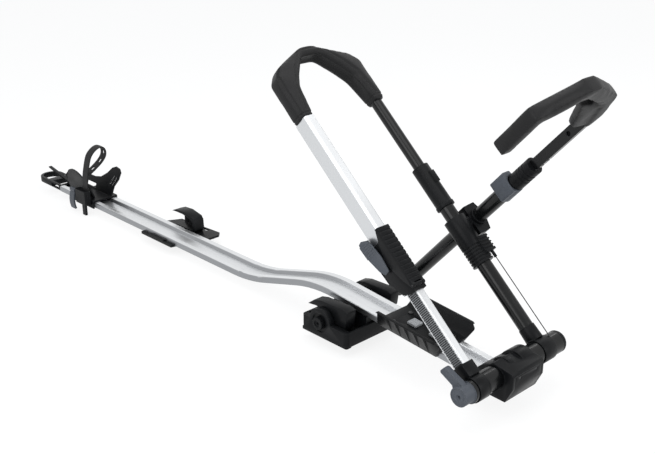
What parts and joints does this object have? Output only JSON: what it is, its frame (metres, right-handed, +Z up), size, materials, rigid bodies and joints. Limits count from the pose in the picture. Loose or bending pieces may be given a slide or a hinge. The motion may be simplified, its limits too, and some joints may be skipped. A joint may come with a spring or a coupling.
{
  "type": "roof mounted bike carrier",
  "caption": "roof rail for an upright bicycle: a folding, height-adjustable hoop and a hooked arm grip the front wheel, a strapped cradle holds the rear wheel, feet clamp to the roof bars",
  "frame": {"origin": "centre of the front foot's underside, below the middle of the rail", "axes": "+X forward along the rail to the hoop pivot, +Y to the side of the hook arm, +Z up"},
  "size_m": [1.7903, 0.3103, 0.6403],
  "materials": {
    "anodised": "satin",
    "black_coat": "satin",
    "black_plastic": "matt",
    "grey_plastic": "satin",
    "pad_rubber": "matt",
    "tray_rubber": "matt",
    "claw_steel": "satin",
    "plain_steel": "brushed",
    "bush_plastic": "smooth"
  },
  "bodies": {
    "frame": {"rail": "anodised", "end_cap": "black_plastic", "strap_keeper": "black_plastic", "foot_base": "black_plastic", "foot_pad": "pad_rubber", "foot_saddle": "black_plastic", "foot_bolts": "plain_steel", "knob_bush": "bush_plastic", "wheel_tray": "black_plastic", "tray_pads": "tray_rubber", "tray_screws": "plain_steel", "pivot_housing": "black_plastic", "housing_cover": "black_plastic", "cover_screws": "plain_steel", "pivot_bushes": "bush_plastic"},
    "knob": {"foot_knob": "black_plastic", "knob_spindle": "plain_steel"},
    "nut": {"knob_nut": "plain_steel"},
    "front_claws": {"claw_yoke": "claw_steel", "front_claw_near": "claw_steel", "front_claw_far": "claw_steel"},
    "rear_clamp": {"clamp_plate": "claw_steel", "clamp_nut": "plain_steel", "clamp_screws": "plain_steel"},
    "rear_hook": {"rear_claw": "claw_steel"},
    "cradle": {"wheel_cradle": "black_plastic", "wheel_strap": "pad_rubber", "buckle_body": "black_plastic", "buckle_pin": "plain_steel"},
    "strap_lever": {"buckle_lever": "grey_plastic"},
    "hoop_lower": {"cross_tube": "black_coat", "hub_plug": "black_plastic", "far_cap": "black_plastic", "leg_clamp": "black_plastic", "leg_socket": "black_plastic", "leg_screws": "plain_steel", "inner_tube": "anodised", "gear_rack": "black_plastic", "far_lower_tube": "black_coat", "far_collar": "black_plastic", "arm_bracket": "black_plastic", "arm_bolt": "plain_steel", "release_cable": "plain_steel"},
    "hub_release": {"hub_lever": "grey_plastic"},
    "hoop_upper": {"outer_tube": "anodised", "far_upper_tube": "black_coat", "hoop_pad": "pad_rubber", "ratchet_body": "black_plastic", "handle_pin": "plain_steel", "release_pin": "plain_steel"},
    "pump": {"pump_handle": "black_plastic"},
    "ratchet_release": {"release_lever": "grey_plastic"},
    "hook_arm": {"arm_sleeve": "black_plastic", "arm_tube": "black_coat", "arm_foot_cap": "black_plastic", "arm_collar": "black_plastic"},
    "hook_thumb": {"hook_button": "grey_plastic"},
    "hook_top": {"hook_bar": "black_coat", "hook_pad": "pad_rubber"}
  },
  "joints": [
    {"name": "knob_turn", "type": "hinge", "parent": "frame", "child": "knob", "pos_m": [-0.012, -0.093, 0.032], "axis": [0, 1, 0], "range_deg": [-181, 361]},
    {"name": "nut_travel", "type": "slide", "parent": "frame", "child": "nut", "axis": [0, 1, 0], "range_m": [-0.0042, 0.0082]},
    {"name": "claw_travel", "type": "slide", "parent": "frame", "child": "front_claws", "axis": [1, 0, 0], "range_m": [-0.004, 0.008]},
    {"name": "rear_clamp_slide", "type": "slide", "parent": "frame", "child": "rear_clamp", "axis": [1, 0, 0], "range_m": [-0.05, 0.12]},
    {"name": "rear_hook_slide", "type": "slide", "parent": "rear_clamp", "child": "rear_hook", "axis": [1, 0, 0], "range_m": [-0.015, 0.015]},
    {"name": "cradle_slide", "type": "slide", "parent": "frame", "child": "cradle", "axis": [1, 0, 0], "range_m": [-0.03, 0.1]},
    {"name": "strap_lever_swing", "type": "hinge", "parent": "cradle", "child": "strap_lever", "pos_m": [-1.033, -0.0513, 0.041], "axis": [1, 0, 0], "range_deg": [-100, 0]},
    {"name": "hoop_swing", "type": "hinge", "parent": "frame", "child": "hoop_lower", "pos_m": [0.394, 0, 0.059], "axis": [0, 1, 0], "range_deg": [-36, 15]},
    {"name": "hub_release_turn", "type": "hinge", "parent": "hoop_lower", "child": "hub_release", "pos_m": [0.394, -0.135, 0.059], "axis": [0, 1, 0], "range_deg": [0, 60]},
    {"name": "hoop_extend", "type": "slide", "parent": "hoop_lower", "child": "hoop_upper", "axis": [-0.7455, 0, 0.6665], "range_m": [-0.14, 0.03]},
    {"name": "pump_swing", "type": "hinge", "parent": "hoop_upper", "child": "pump", "pos_m": [0.25594, -0.1035, 0.21665], "axis": [0, 1, 0], "range_deg": [0, 55]},
    {"name": "ratchet_release_press", "type": "hinge", "parent": "hoop_upper", "child": "ratchet_release", "pos_m": [0.18285, -0.098, 0.21292], "axis": [0, 1, 0], "range_deg": [-15, 0], "stiffness_Nm_per_rad": 0.3, "springref_deg": 8.59},
    {"name": "hook_arm_swing", "type": "hinge", "parent": "hoop_lower", "child": "hook_arm", "pos_m": [0.18303, 0.143, 0.24763], "axis": [0, 1, 0], "range_deg": [-80, 0]},
    {"name": "thumb_press", "type": "slide", "parent": "hook_arm", "child": "hook_thumb", "axis": [0.7455, 0, -0.6665], "range_m": [0, 0.003], "stiffness_N_per_m": 500, "springref_m": -0.002},
    {"name": "hook_reach", "type": "slide", "parent": "hook_arm", "child": "hook_top", "axis": [0.6665, 0, 0.7455], "range_m": [-0.12, 0.02]}
  ],
  "couplings": [
    {"joint": "nut_travel", "follows": "claw_travel", "ratio": 1},
    {"joint": "knob_turn", "follows": "claw_travel", "rad_per_m": 785.4}
  ]
}
